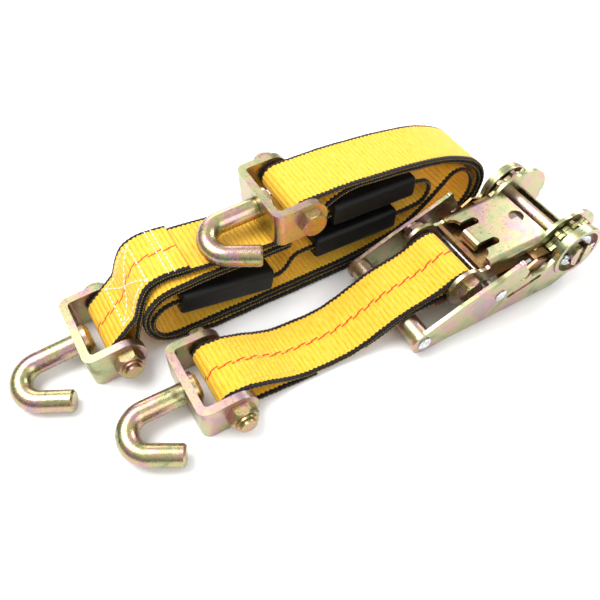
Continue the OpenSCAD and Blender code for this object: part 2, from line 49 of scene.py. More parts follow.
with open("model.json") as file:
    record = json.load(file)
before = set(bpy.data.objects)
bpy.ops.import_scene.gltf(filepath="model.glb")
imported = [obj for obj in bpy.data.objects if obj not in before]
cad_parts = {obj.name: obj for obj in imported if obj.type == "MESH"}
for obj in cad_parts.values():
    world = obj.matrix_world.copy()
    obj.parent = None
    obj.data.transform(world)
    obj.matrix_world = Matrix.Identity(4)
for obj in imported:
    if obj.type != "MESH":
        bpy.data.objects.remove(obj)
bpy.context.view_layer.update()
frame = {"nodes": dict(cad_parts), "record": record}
ROOT = "ratchet_frame_and_long_strap"
MM = 0.001
# The camera's place in the layout, and its focal length as a share of its sensor's width
CAMERA_AT, FOCAL_SHARE = (-163.0, -282.33, 409.13), 1.0909

# The CAD layout's corner point, seen from the object's origin, in millimetres
LAYOUT_SHIFT = (-3.0, 3.0, 0.0)
# Where the ratchet's own frame stands in the layout
RATCHET_AT = (-6.5, -46.0, 8.0)
# Yoke bolts in the layout
BOLTS = [(-140, 36, 16.5), (-89, -41, 14.5), (15, 43, 73)]
# The straight runs of strap through rubber blocks 1, 2 and 3, in the layout
BLOCK_RUNS = [((-10, 40, 20.4), (-96, 40, 38.2)), ((106, 41, 31.4), (14, 41, 34.6)),
              ((38, 43, 59.6), (119, 43, 56.8))]
# Radius of a strap's middle line round a yoke's sleeve, and how much closer it lies at
# the anchor bolt: it clears the lock pawl there, and presses a little into the sleeve
LOOP_R, ANCHOR_TUCK = 9.65, 0.15


# ---- small tools -----------------------------------------------------------

def linear(code):
    """sRGB hex colour to linear RGBA."""
    values = [int(code[i:i + 2], 16) / 255 for i in (1, 3, 5)]
    return [v / 12.92 if v <= 0.04045 else ((v + 0.055) / 1.055) ** 2.4 for v in values] + [1.0]


def add_node(tree, kind, inputs=None, links=None, **settings):
    """Adds a node. inputs sets sockets, links joins them to other nodes' outputs."""
    node = tree.nodes.new(kind)
    for key, value in settings.items():
        setattr(node, key, value)
    for key, value in (inputs or {}).items():
        node.inputs[key].default_value = value
    for key, source in (links or {}).items():
        tree.links.new(source, node.inputs[key])
    return node


def ramp(tree, factor, stops):
    """The colour of a ramp through (position, colour) stops."""
    node = add_node(tree, "ShaderNodeValToRGB", links={"Fac": factor})
    while len(node.color_ramp.elements) < len(stops):
        node.color_ramp.elements.new(0.5)
    for element, (place, colour) in zip(node.color_ramp.elements, stops):
        element.position = place
        element.color = colour
    return node.outputs["Color"]


def grey(value):
    """An opaque linear grey."""
    return [value, value, value, 1.0]


def new_material(name, **shader):
    """A material with an empty tree, its Principled shader and its output."""
    material = bpy.data.materials.new(name)
    material.use_nodes = True
    tree = material.node_tree
    tree.nodes.clear()
    bsdf = add_node(tree, "ShaderNodeBsdfPrincipled", inputs=shader)
    add_node(tree, "ShaderNodeOutputMaterial", links={"Surface": bsdf.outputs["BSDF"]})
    return material, tree, bsdf


def math_node(tree, operation, a, b=None, clamp=False):
    """A Math node of two values or sockets."""
    node = add_node(tree, "ShaderNodeMath", operation=operation, use_clamp=clamp)
    for index, value in enumerate((a, b)):
        if value is None:
            continue
        if isinstance(value, (int, float)):
            node.inputs[index].default_value = value
        else:
            tree.links.new(value, node.inputs[index])
    return node.outputs[0]


def mix_colour(tree, factor, a, b, blend="MIX"):
    """Mixes two colours, each a list or a socket."""
    node = add_node(tree, "ShaderNodeMix", data_type="RGBA", blend_type=blend)
    for key, value in ((0, factor), (6, a), (7, b)):
        if isinstance(value, (int, float, list)):
            node.inputs[key].default_value = value
        else:
            tree.links.new(value, node.inputs[key])
    return node.outputs[2]


def noise(tree, place, scale, detail=2.0, **sockets):
    """Noise from 0 to 1 at a place, with its other sockets set by name."""
    return add_node(tree, "ShaderNodeTexNoise", inputs={"Scale": scale, "Detail": detail, **sockets},
                    links={"Vector": place}).outputs["Fac"]


def object_place(tree):
    """The place in an object's own frame, in metres."""
    return add_node(tree, "ShaderNodeTexCoord").outputs["Object"]


def vary_roughness(tree, bsdf, value, low, high, start=0.0, stop=1.0):
    """Takes a shader's roughness from low to high as a value goes from start to stop."""
    node = add_node(tree, "ShaderNodeMapRange", inputs={
        "From Min": start, "From Max": stop, "To Min": low, "To Max": high}, links={"Value": value})
    tree.links.new(node.outputs["Result"], bsdf.inputs["Roughness"])


def emboss(tree, bsdf, height, strength, depth, under=None):
    """Bumps a shader's surface by a height, on top of another bump where one is given."""
    node = add_node(tree, "ShaderNodeBump", inputs={"Strength": strength, "Distance": depth},
                    links={"Height": height, **({"Normal": under} if under else {})})
    tree.links.new(node.outputs["Normal"], bsdf.inputs["Normal"])
    return node.outputs["Normal"]


def mesh_object(name, verts, faces=(), edges=(), smooth=True):
    """A mesh object at the origin from points in metres."""
    mesh = bpy.data.meshes.new(name)
    mesh.from_pydata([tuple(v) for v in verts], edges, faces)
    mesh.update()
    obj = bpy.data.objects.new(name, mesh)
    bpy.context.scene.collection.objects.link(obj)
    if smooth:
        mesh.shade_smooth()
    return obj


def layout(p):
    """A layout point in millimetres to the object's frame in metres."""
    return Vector((p[i] + LAYOUT_SHIFT[i] for i in range(3))) * MM


def ratchet(p):
    """A point of the ratchet's frame in millimetres to the object's frame in metres."""
    return layout([p[i] + RATCHET_AT[i] for i in range(3)])


# ---- webbing routes ----------------------------------------------------------

def smooth_curve(points, steps):
    """A Catmull-Rom curve through the points, as in the CAD."""
    last = len(points) - 1
    out = []
    for i in range(last):
        p = [points[max(i - 1, 0)], points[i], points[i + 1], points[min(i + 2, last)]]
        for k in range(steps):
            t = k / steps
            out.append(tuple(0.5 * (2 * p[1][a] + (p[2][a] - p[0][a]) * t
                                    + (2 * p[0][a] - 5 * p[1][a] + 4 * p[2][a] - p[3][a]) * t * t
                                    + (3 * p[1][a] - p[0][a] - 3 * p[2][a] + p[3][a]) * t ** 3)
                             for a in range(3)))
    return out + [tuple(points[-1])]


def arc(cx, cy, cz, r, a0, a1, n):
    """n steps round a centre in the XZ plane, from angle a0 to a1 in degrees."""
    angles = [math.radians(a0 + (a1 - a0) * i / n) for i in range(n + 1)]
    return [(cx + r * math.cos(a), cy, cz + r * math.sin(a)) for a in angles]


# Steps between two points of a route
STEPS = 6


def front_route():
    """Short strap: tail, loop at the hook, run, loop at the anchor bolt, tail."""
    x, y, z = BOLTS[1]

    def drift(px):
        return y + (RATCHET_AT[1] - y) * max(0.0, min(1.0, (px + 60) / 140))

    def run(pairs):
        return smooth_curve([(px, drift(px), pz) for px, pz in pairs], STEPS)

    start = run([(-24, 1.5), (-44, 1.7), (-62, 2.6), (-78, 4.3)])
    main = run([(-76, 22.6), (-62, 16.6), (-48, 9.6), (-35, 5.4), (-22, 4.6), (-8, 4.4), (6, 6.4),
                (20, 11.6), (34, 18.8), (45, 24.4), (54, 27.4), (64, 30), (76, 33.8), (86, 38.9),
                (92, 42.1)])
    end = run([(91, 24.6), (81, 25.6), (70, 25.8), (62, 25.2), (54, 24.3), (45, 21.3), (34, 15.7),
               (24, 10.4), (16, 7.2)])
    anchor = arc(106 + RATCHET_AT[0], RATCHET_AT[1], 26 + RATCHET_AT[2], LOOP_R - ANCHOR_TUCK,
                 90, -90, 32)
    return start + arc(x, y, z, LOOP_R, 270, 90, 32) + main + anchor + end


def long_route():
    """Long strap, from the sewn end at hook 1 to its free end."""
    b1, b3 = BOLTS[0], BOLTS[2]
    a = smooth_curve([(-77, 46, 60.1), (-90, 47, 60.6), (-101, 47, 60.2), (-111, 46, 57),
                      (-118, 43, 50.2), (-124, 39, 40)], STEPS)
    b = smooth_curve([(-121.4, 39, 38.2), (-115.6, 43, 48), (-109, 46, 54), (-99, 47, 57),
                      (-84, 46, 57.1), (-66, 45, 56.2), (-45, 44, 54.6), (-25, 44, 53), (-8, 43, 52),
                      (8, 43, 52.2), (20, 43, 54.4), (30, 43, 57.6)], STEPS)
    c = smooth_curve([(128, 42, 55), (133, 42, 48.5), (133, 42, 41), (127, 41, 34.5),
                      (117, 41, 32)], STEPS)
    d = smooth_curve([(8, 41, 34.2), (3, 41, 31.2), (-1, 40, 26.6), (-5, 40, 22.6)], STEPS)
    e = smooth_curve([(-103, 39, 38.4), (-110, 38, 35), (-114, 38, 28), (-114, 37, 20),
                      (-110, 37, 12), (-103, 37, 8.6), (-92, 37, 7.8), (-60, 37, 7.8),
                      (-20, 37, 7.8), (20, 37, 7.8), (60, 37, 9), (85, 38, 11.6), (104, 38, 16),
                      (121, 39, 24), (135, 40, 33.4), (147, 41, 43), (157, 42, 49.4), (167, 42, 50),
                      (175, 41, 44), (179, 40, 34), (177, 39, 22), (169, 38, 13.6), (156, 37, 9.4),
                      (138, 36, 8), (120, 36, 6.6), (102, 36, 4.7), (60, 36, 4.7), (0, 36, 4.7),
                      (-50, 36, 4.7)], STEPS)
    f = smooth_curve([(-70, 41, 48.6), (-45, 42, 46.2), (-20, 42, 44.6), (-4, 42, 44.8)], STEPS)
    g = smooth_curve([(-4, 42, 48.3), (-20, 42, 47.9), (-45, 42, 49.5), (-70, 41, 51.8)], STEPS)
    h = smooth_curve([(-70, 34, 1.5), (0, 34, 1.5), (70, 34, 1.5), (120, 34, 1.5), (148, 35, 1.6),
                      (164, 36, 3.6), (178, 37, 9.6), (187, 38, 20), (190.5, 39, 33), (187, 40, 45),
                      (178, 41, 55), (165, 41, 63), (148, 42, 69.4), (130, 42, 73.8), (107, 42, 77.6),
                      (80, 42, 80.6), (52, 43, 82.2), (28, 43, 82.6)], STEPS)
    i = smooth_curve([(22, 43, 64.2), (29, 43, 67.6), (38, 43, 72.9), (48, 43, 76.5), (60, 43, 78),
                      (80, 42, 77.2), (107, 42, 74.2), (130, 42, 70.3), (148, 42, 65.8),
                      (163, 41, 59.8), (175, 41, 52.4), (183, 40, 43.6), (186.5, 39, 33),
                      (183.4, 38, 21.6), (175.4, 37, 12.6), (162, 36, 6.6), (147, 35, 4.8),
                      (126, 34, 4.7)], STEPS)
    block_1, block_2, block_3 = (list(run) for run in BLOCK_RUNS)
    return (a + arc(*b1, LOOP_R, 126, 338, 32) + b + block_3 + c + block_2 + d + block_1 + e
            + arc(-94, 38, 27.6, 22.9, 270, 90, 40) + f
            + arc(1, 42, 46.55, 1.75, -90, 90, 16) + g + arc(-94, 38, 27.6, 26.1, 90, 270, 40) + h
            + arc(*b3, LOOP_R, 90, 270, 32) + i)


def resample(points, pitch):
    """Points at an even distance along a polyline, in millimetres, and its length."""
    runs = [0.0]
    for p, q in zip(points, points[1:]):
        runs.append(runs[-1] + math.dist(p, q))
    count = max(2, round(runs[-1] / pitch))
    out, k = [], 0
    for i in range(count + 1):
        s = runs[-1] * i / count
        while k < len(runs) - 2 and runs[k + 1] < s:
            k += 1
        span = runs[k + 1] - runs[k]
        t = (s - runs[k]) / span if span > 1e-9 else 0.0
        out.append(tuple(a + (b - a) * t for a, b in zip(points[k], points[k + 1])))
    return out, runs[-1]


def ease(points, rounds):
    """Softens the small kinks where two spans of the route meet."""
    for _ in range(rounds):
        points = ([points[0]]
                  + [tuple((a + 2 * b + c) / 4 for a, b, c in zip(*points[i - 1:i + 2]))
                     for i in range(1, len(points) - 1)]
                  + [points[-1]])
    return points


def wobble(s, seed):
    """A small smooth wander between -1 and 1 along the strap."""
    return (math.sin(s * 0.071 + seed) + 0.7 * math.sin(s * 0.163 + 2.1 * seed)
            + 0.5 * math.sin(s * 0.397 + 3.7 * seed)) / 2.2


class Strap:
    """A strap's middle line with its direction at each point."""

    def __init__(self, route, pitch):
        points, self.length = resample(route, pitch)
        self.points = ease(points, 6)
        self.step = self.length / (len(points) - 1)
        self.runs = []
        last = len(points) - 1
        for i in range(last + 1):
            p, q = self.points[max(i - 1, 0)], self.points[min(i + 1, last)]
            dx, dz = q[0] - p[0], q[2] - p[2]
            size = math.hypot(dx, dz)
            self.runs.append((dx / size, dz / size))

    def place(self, s, across, rise):
        """The point s mm along the strap, across from its middle and rise above its middle."""
        at = max(0.0, min(len(self.points) - 1.001, s / self.step))
        k = int(at)
        t = at - k
        p = [a + (b - a) * t for a, b in zip(self.points[k], self.points[k + 1])]
        ux, uz = self.runs[k]
        return layout((p[0] - uz * rise, p[1] + across, p[2] + ux * rise))


# Steps across a strap's face, and round half of its selvedge
FACE_CELLS, NOSE_CELLS = 12, 6


def cross_section(width, thick):
    """The whole ring of a strap's section as (across, rise) points, from its upper face on."""
    r = thick / 2
    flat = width / 2 - r
    top = [(-flat + 2 * flat * i / FACE_CELLS, r) for i in range(FACE_CELLS + 1)]
    nose = [(flat + r * math.sin(a), r * math.cos(a))
            for a in (math.pi * k / NOSE_CELLS for k in range(1, NOSE_CELLS))]
    return top + nose + [(-x, -z) for x, z in top + nose]


# The ribs' places drift a little along the strap, alike in the mesh and in its material
RIB_DRIFT, RIB_DRIFT_RATE, RIB_ROUND, RIB_RISE = 0.16, 0.047, 0.6, 0.2
# The share of a rib's height that lies under the plain section's face
RIB_SUNK = 0.7
# In millimetres: the selvedge's width, its wander, the scallop that the picks give it,
# and the waviness of the faces. SCALLOP_RATE is in radians per millimetre.
EDGE_ZONE, EDGE_WANDER, SCALLOP, FACE_WAVE, SCALLOP_RATE = 3.4, 0.35, 0.24, 0.12, 1.75


def rib_height(s, pitch):
    """Height from 0 to 1 of the woven ribs at s mm along a strap."""
    drift = RIB_DRIFT * math.sin(RIB_DRIFT_RATE * s)
    return abs(math.sin(math.pi * (s / pitch + drift))) ** RIB_ROUND


def make_strap(name, strap, width, thick, rib_pitch, bulge, seed):
    """One ply of webbing with rounded selvedges that stand a little proud, swept along a
    strap. The UV map holds millimetres: U round the section, from the middle of the
    upper face, and V along the strap.
    """
    ring = cross_section(width, thick)
    half = width / 2
    count = len(ring)
    rounds = [0.0]
    for a, b in zip(ring, ring[1:] + ring[:1]):
        rounds.append(rounds[-1] + math.dist(a, b))
    verts, faces = [], []
    for i, p in enumerate(strap.points):
        s = i * strap.step
        ux, uz = strap.runs[i]
        for across, rise in ring:
            edge = max(0.0, (abs(across) - half + EDGE_ZONE) / EDGE_ZONE)
            side = 1 if across > 0 else -1
            wide = side * edge * (EDGE_WANDER * wobble(s, seed + side)
                                  + SCALLOP * math.sin(s * SCALLOP_RATE + side))
            proud = rise * (1 + bulge * min(1.0, edge * 1.6))
            proud += FACE_WAVE * wobble(s * 1.7 + across * 0.4, seed) * (1 - edge)
            rib = RIB_RISE * (rib_height(s, rib_pitch) - RIB_SUNK)
            proud += math.copysign(rib * (1 - edge), rise)
            verts.append(layout((p[0] - uz * proud, p[1] + across + wide, p[2] + ux * proud)))
    for i in range(len(strap.points) - 1):
        for k in range(count):
            a, b = i * count + k, i * count + (k + 1) % count
            faces.append((a, a + count, b + count, b))
    last = (len(strap.points) - 1) * count
    faces.append(tuple(range(count)))
    faces.append(tuple(last + k for k in reversed(range(count))))
    obj = mesh_object(name, verts, faces)
    uv = obj.data.uv_layers.new(name="UVMap")
    face_middle = rounds[FACE_CELLS] / 2
    quads = len(faces) - 2
    for poly in obj.data.polygons:
        first = poly.vertices[0]
        for loop in poly.loop_indices:
            v = obj.data.loops[loop].vertex_index
            row, col = divmod(v, count)
            turn = rounds[col]
            if poly.index < quads and col == 0 and first % count == count - 1:
                turn = rounds[count]
            uv.data[loop].uv = (turn - face_middle, row * strap.step)
    bm = bmesh.new()
    bm.from_mesh(obj.data)
    bmesh.ops.triangulate(bm, faces=[f for f in bm.faces if len(f.verts) > 4])
    bmesh.ops.recalc_face_normals(bm, faces=bm.faces)
    bm.to_mesh(obj.data)
    bm.free()
    return obj


# ---- materials ---------------------------------------------------------------

def webbing_material(name, width, thick, settings, tracer_side, tracer_from, tracer_to):
    """Woven polyester webbing, resin-set: golden filament yarn packed into transverse ribs,
    with black selvedges and a pair of red tracer yarns on one face. It gives a ribbed,
    slightly shiny face and a matte dark edge with yellow flecks where the picks turn round.
    """
    # Repeats of the weave in millimetres: yarns, picks, and at the selvedge the steps of
    # its boundary, the flecks and the cords
    yarn_pitch, pick_pitch, step_pitch, fleck_pitch, cord_pitch = 0.95, 1.05, 3.6, 1.9, 2.3
    # Half widths of a tracer yarn and of the line of flecks, and the dash's share of its pitch
    tracer_half, fleck_half, dash_share = 0.58, 0.32, 0.6
    material, tree, bsdf = new_material(name, Metallic=0.0, IOR=1.5, **{
        "Sheen Weight": 0.1, "Sheen Roughness": 0.4, "Specular IOR Level": 0.35})
    calc = partial(math_node, tree)
    times, plus, minus, over, under = (partial(calc, kind) for kind in (
        "MULTIPLY", "ADD", "SUBTRACT", "GREATER_THAN", "LESS_THAN"))
    size, wave = partial(calc, "ABSOLUTE"), partial(calc, "SINE")
    uv = add_node(tree, "ShaderNodeUVMap", uv_map="UVMap").outputs["UV"]
    parts = add_node(tree, "ShaderNodeSeparateXYZ", links={"Vector": uv})
    u, v = parts.outputs["X"], parts.outputs["Y"]
    # Half way round the section; the selvedge's few chords are shorter than its arc
    around = width - thick + math.pi * thick / 2 * 0.985
    # Distance across either face from its middle: the second face starts half way round
    second = over(u, around / 2)
    across = minus(u, times(second, around))
    from_middle = size(across)

    # Ribs across the strap, a little uneven, and the fine yarns along it
    sway = wave(times(v, RIB_DRIFT_RATE))
    rib_place = plus(calc("DIVIDE", v, settings.rib_pitch * 1000), times(sway, RIB_DRIFT))
    rib = calc("POWER", size(wave(times(rib_place, math.pi))), RIB_ROUND)
    weave = times(wave(times(across, math.tau / yarn_pitch)), wave(times(v, math.tau / pick_pitch)))
    stretch = add_node(tree, "ShaderNodeMapping", inputs={"Scale": (0.16, 0.9, 1.0)},
                       links={"Vector": uv})
    streak = noise(tree, stretch.outputs["Vector"], 1.0, 3.0, Roughness=0.6)

    # Golden yarn with soft patches along the length, and painted shade that darkens the valleys
    # between the ribs
    dark_yarn_and_valley_shade, mid, light = (linear(c) for c in (settings.shade, settings.colour, settings.light))
    body = ramp(tree, streak, [(0.2, dark_yarn_and_valley_shade), (0.42, mid), (0.85, light)])
    valley = minus(1.0, rib)
    # Painted shade: the valleys between the ribs are mixed toward the shade colour
    body = mix_colour(tree, times(valley, 0.55), body, dark_yarn_and_valley_shade)
    body = mix_colour(tree, times(noise(tree, uv, 0.03, 3.0), 0.22), body, light)

    # Painted highlight: pale glints painted where single filaments stand up between the ribs
    glint = over(plus(times(weave, 0.22), streak), 0.66)
    body = mix_colour(tree, times(glint, valley, clamp=True), body, linear("#fff1ae"))

    # Two red tracer yarns that float over and dive under the ribs by turns
    drift = times(minus(noise(tree, uv, 0.09), 0.5), 1.2)
    dashes = []
    for offset, phase in ((-settings.tracer_gap * 500, 0.0), (settings.tracer_gap * 500, 0.5)):
        part = calc("FRACT", plus(calc("DIVIDE", v, settings.tracer_pitch * 1000), phase))
        slant = times(minus(part, dash_share / 2), 1.5)
        away = size(minus(minus(plus(across, drift), offset), slant))
        dashes.append(times(under(away, tracer_half), under(part, dash_share)))
    side = second if tracer_side < 0 else minus(1.0, second)
    within = times(over(v, tracer_from), under(v, tracer_to))
    dash = times(calc("MAXIMUM", *dashes), times(side, within))
    body = mix_colour(tree, dash, body, linear(settings.tracer))

    # Selvedge: black yarn whose inner boundary steps in and out with the picks, and
    # yellow flecks along the middle of the strap's thickness
    ragged = plus(times(wave(times(v, math.tau / step_pitch)), 0.42), times(minus(streak, 0.5), 2.2))
    border = over(plus(from_middle, ragged), width / 2 - settings.selvedge * 1000)
    rim = under(size(minus(from_middle, around / 2)), fleck_half)
    fleck = times(rim, over(wave(times(plus(v, sway), math.tau / fleck_pitch)), 0.25))
    black = ramp(tree, streak, [(0.2, linear("#050404")), (0.8, linear("#161311"))])
    edge = mix_colour(tree, times(fleck, 0.85), black, linear("#c9a43a"))
    tree.links.new(mix_colour(tree, border, body, edge), bsdf.inputs["Base Color"])
    tree.links.new(plus(times(border, 0.22), 0.5), bsdf.inputs["Roughness"])
    cord = size(wave(times(v, math.pi / cord_pitch)))
    height = times(times(rib, minus(1.0, border)), 0.8)
    for relief, depth in ((weave, 0.10), (times(cord, border), 0.7), (dash, 0.35)):
        height = plus(height, times(relief, depth))
    emboss(tree, bsdf, height, 1.0, 0.0009)
    return material


def plated_material(name, greens, pinks, darks, roughness, grain, patch_mm, seed, streak=(1, 1, 1)):
    """Yellow chromate over electroplated zinc on steel: a pale gold-green metal whose
    thin film turns pink and violet in soft patches and brown where it is thick, with
    small dull specks.
    """
    material, tree, bsdf = new_material(name, Metallic=1.0, **{"Specular IOR Level": 0.5})
    at = add_node(tree, "ShaderNodeMapping", inputs={
        "Location": (seed * 0.37, seed * 0.21, seed * 0.13), "Scale": streak},
        links={"Vector": object_place(tree)}).outputs["Vector"]
    dark, green = linear(darks), linear(greens[0])
    broad = noise(tree, at, 1 / (patch_mm * MM), 3.0, Roughness=0.55, Distortion=0.6)
    film = ramp(tree, broad, [(0.27, dark), (0.38, green), (0.47, linear(greens[1])),
                              (0.57, linear(pinks[0])), (0.65, linear(pinks[1])), (0.74, green)])
    small = noise(tree, at, 1 / (2.2 * MM), 4.0, Roughness=0.7)
    mottle = ramp(tree, small, [(0.3, dark), (0.6, green), (0.8, linear("#efe9cf"))])
    # Small dull brown specks, in places
    pits = add_node(tree, "ShaderNodeTexVoronoi", inputs={"Scale": 1 / (1.3 * MM), "Randomness": 1.0},
                    links={"Vector": at})
    speck = math_node(tree, "LESS_THAN", pits.outputs["Distance"], 0.16)
    speck = math_node(tree, "MULTIPLY", speck, math_node(tree, "GREATER_THAN", small, 0.57))
    colour = mix_colour(tree, math_node(tree, "MULTIPLY", speck, 0.14),
                        mix_colour(tree, 0.13, film, mottle), linear("#5b4a2c"))
    tree.links.new(colour, bsdf.inputs["Base Color"])
    vary_roughness(tree, bsdf, small, roughness - 0.06, roughness + 0.12, 0.3, 0.75)
    fine = emboss(tree, bsdf, noise(tree, at, 1 / (0.7 * MM)), grain, 0.0002)
    emboss(tree, bsdf, broad, grain, 0.0008, under=fine)
    return material


def bright_zinc_material():
    """Clear-passivated zinc on pins, washers and springs: a cool silver with small dull
    spots."""
    material, tree, bsdf = new_material("bright zinc pins", Metallic=1.0)
    tone = noise(tree, object_place(tree), 1 / (3 * MM), 4.0)
    colour = ramp(tree, tone, [(0.3, linear("#9aa0a6")), (0.55, linear("#d9dde0")),
                               (0.8, linear("#f2f2ee"))])
    tree.links.new(colour, bsdf.inputs["Base Color"])
    vary_roughness(tree, bsdf, tone, 0.2, 0.38)
    emboss(tree, bsdf, tone, 0.3, 0.0002)
    return material


def rubber_material(colour):
    """Extruded black EPDM rubber: dense, slightly satin, with die lines along it, a fine
    grain and a greyish bloom in patches."""
    material, tree, bsdf = new_material("extruded black rubber", Metallic=0.0, IOR=1.52, **{
        "Specular IOR Level": 0.2})
    uv = add_node(tree, "ShaderNodeUVMap", uv_map="UVMap").outputs["UV"]
    where = object_place(tree)
    bloom = noise(tree, where, 1 / (9 * MM), 4.0)
    tone = ramp(tree, bloom, [(0.35, linear(colour)), (0.62, linear("#0b0c0d")),
                              (0.85, linear("#141517"))])
    tree.links.new(tone, bsdf.inputs["Base Color"])
    vary_roughness(tree, bsdf, bloom, 0.34, 0.55)
    lines = add_node(tree, "ShaderNodeMapping", inputs={"Scale": (1.4, 0.01, 1.0)},
                     links={"Vector": uv})
    die = noise(tree, lines.outputs["Vector"], 1.0)
    grit = noise(tree, where, 1 / (0.6 * MM))
    height = math_node(tree, "ADD", die, math_node(tree, "MULTIPLY", grit, 0.4))
    emboss(tree, bsdf, height, 0.35, 0.0003)
    return material


def thread_material(name, light, shade):
    """Bonded polyester sewing thread: a soft sheen, finely mottled by its plies."""
    material, tree, bsdf = new_material(name, Metallic=0.0, IOR=1.5, Roughness=0.55, **{
        "Sheen Weight": 0.3, "Sheen Roughness": 0.5})
    ply = noise(tree, object_place(tree), 1 / (0.5 * MM))
    colour = ramp(tree, ply, [(0.3, linear(shade)), (0.6, linear(light))])
    tree.links.new(colour, bsdf.inputs["Base Color"])
    emboss(tree, bsdf, ply, 0.4, 0.0002)
    return material


# ---- Geometry Nodes ------------------------------------------------------------

def new_tree(name, sockets):
    """A geometry node group with named inputs: (name, kind, default)."""
    tree = bpy.data.node_groups.new(name, "GeometryNodeTree")
    tree.interface.new_socket("Geometry", in_out="INPUT", socket_type="NodeSocketGeometry")
    for label, kind, default in sockets:
        socket = tree.interface.new_socket(label, in_out="INPUT", socket_type=kind)
        if default is not None:
            socket.default_value = default
    tree.interface.new_socket("Geometry", in_out="OUTPUT", socket_type="NodeSocketGeometry")
    return tree, tree.nodes.new("NodeGroupInput"), tree.nodes.new("NodeGroupOutput")


def close_tree(tree, out, geometry, material):
    """Ends a tree in Realize Instances, smooth shading and Set Material."""
    real = add_node(tree, "GeometryNodeRealizeInstances", links={"Geometry": geometry})
    soft = add_node(tree, "GeometryNodeSetShadeSmooth", links={0: real.outputs[0]})
    done = add_node(tree, "GeometryNodeSetMaterial", inputs={"Material": material},
                    links={"Geometry": soft.outputs[0]})
    tree.links.new(done.outputs[0], out.inputs[0])


def stitch_tree(material):
    """Lays swollen bits of thread end to end along edges, like a row of lock stitches."""
    tree, source, out = new_tree("lock stitch row", [
        ("Stitch pitch", "NodeSocketFloat", 0.004), ("Thread radius", "NodeSocketFloat", 0.0005),
        ("Seed", "NodeSocketInt", 3)])
    line = add_node(tree, "GeometryNodeMeshToCurve", links={"Mesh": source.outputs["Geometry"]})
    spaced = add_node(tree, "GeometryNodeResampleCurve", mode="LENGTH", links={
        "Curve": line.outputs["Curve"], "Length": source.outputs["Stitch pitch"]})
    tangent = add_node(tree, "GeometryNodeInputTangent")
    kept = add_node(tree, "GeometryNodeCaptureAttribute")
    kept.capture_items.new("VECTOR", "Along")
    tree.links.new(spaced.outputs[0], kept.inputs["Geometry"])
    tree.links.new(tangent.outputs[0], kept.inputs["Along"])
    radius = source.outputs["Thread radius"]
    ball = add_node(tree, "GeometryNodeMeshUVSphere", inputs={"Segments": 8, "Rings": 6},
                    links={"Radius": radius})
    reach = add_node(tree, "ShaderNodeMath", operation="DIVIDE",
                     links={0: source.outputs["Stitch pitch"], 1: radius})
    longer = add_node(tree, "ShaderNodeMath", operation="MULTIPLY", inputs={1: 0.46},
                      links={0: reach.outputs[0]})
    scale = add_node(tree, "ShaderNodeCombineXYZ", inputs={"X": 1.0, "Y": 1.0},
                     links={"Z": longer.outputs[0]})
    thread = add_node(tree, "GeometryNodeTransform", links={"Geometry": ball.outputs["Mesh"],
                                                            "Scale": scale.outputs[0]})
    turn = add_node(tree, "FunctionNodeAlignRotationToVector", axis="Z",
                    links={"Vector": kept.outputs["Along"]})
    jitter = add_node(tree, "FunctionNodeRandomValue", data_type="FLOAT_VECTOR",
                      links={"Seed": source.outputs["Seed"]})
    jitter.inputs[0].default_value = (0.85, 0.85, 0.86)
    jitter.inputs[1].default_value = (1.15, 1.15, 1.04)
    placed = add_node(tree, "GeometryNodeInstanceOnPoints", links={
        "Points": kept.outputs["Geometry"], "Instance": thread.outputs[0],
        "Rotation": turn.outputs[0], "Scale": jitter.outputs[0]})
    close_tree(tree, out, placed.outputs[0], material)
    return tree


def coil_tree(material):
    """Winds a round wire into a compression spring along X."""
    tree, source, out = new_tree("compression spring", [
        ("Turns", "NodeSocketFloat", 6.0), ("Coil radius", "NodeSocketFloat", 0.002),
        ("Wire radius", "NodeSocketFloat", 0.0004), ("Length", "NodeSocketFloat", 0.015)])
    spiral = add_node(tree, "GeometryNodeCurveSpiral", inputs={"Resolution": 28}, links={
        "Rotations": source.outputs["Turns"], "Start Radius": source.outputs["Coil radius"],
        "End Radius": source.outputs["Coil radius"], "Height": source.outputs["Length"]})
    wire = add_node(tree, "GeometryNodeCurvePrimitiveCircle", inputs={"Resolution": 8},
                    links={"Radius": source.outputs["Wire radius"]})
    body = add_node(tree, "GeometryNodeCurveToMesh", inputs={"Fill Caps": True}, links={
        "Curve": spiral.outputs[0], "Profile Curve": wire.outputs[0]})
    laid = add_node(tree, "GeometryNodeTransform", inputs={"Rotation": (0.0, math.pi / 2, 0.0)},
                    links={"Geometry": body.outputs[0]})
    close_tree(tree, out, laid.outputs[0], material)
    return tree


def grow(obj, tree, **values):
    """Runs a tree on an object and keeps the result as a plain mesh."""
    modifier = obj.modifiers.new("grow", "NODES")
    modifier.node_group = tree
    sockets = {s.name: s.identifier for s in tree.interface.items_tree
               if s.item_type == "SOCKET" and s.in_out == "INPUT"}
    for label, value in values.items():
        modifier[sockets[label.replace("_", " ")]] = value
    bpy.context.view_layer.update()
    graph = bpy.context.evaluated_depsgraph_get()
    mesh = bpy.data.meshes.new_from_object(obj.evaluated_get(graph), depsgraph=graph)
    obj.modifiers.remove(modifier)
    old = obj.data
    obj.data = mesh
    bpy.data.meshes.remove(old)
    mesh.name = obj.name
    if not mesh.polygons:
        raise RuntimeError(f"{obj.name} came out empty")
    finish = mesh.materials[-1]
    mesh.materials.clear()
    mesh.materials.append(finish)
    for poly in mesh.polygons:
        poly.material_index = 0
    return obj


# ---- settings --------------------------------------------------------------------

def metres(name, description, default):
    """A setting in metres."""
    return bpy.props.FloatProperty(name=name, description=description, default=default, unit="LENGTH")


def hue(name, description, default):
    """A setting that holds an sRGB hex colour."""
    return bpy.props.StringProperty(name=name, description=description, default=default)


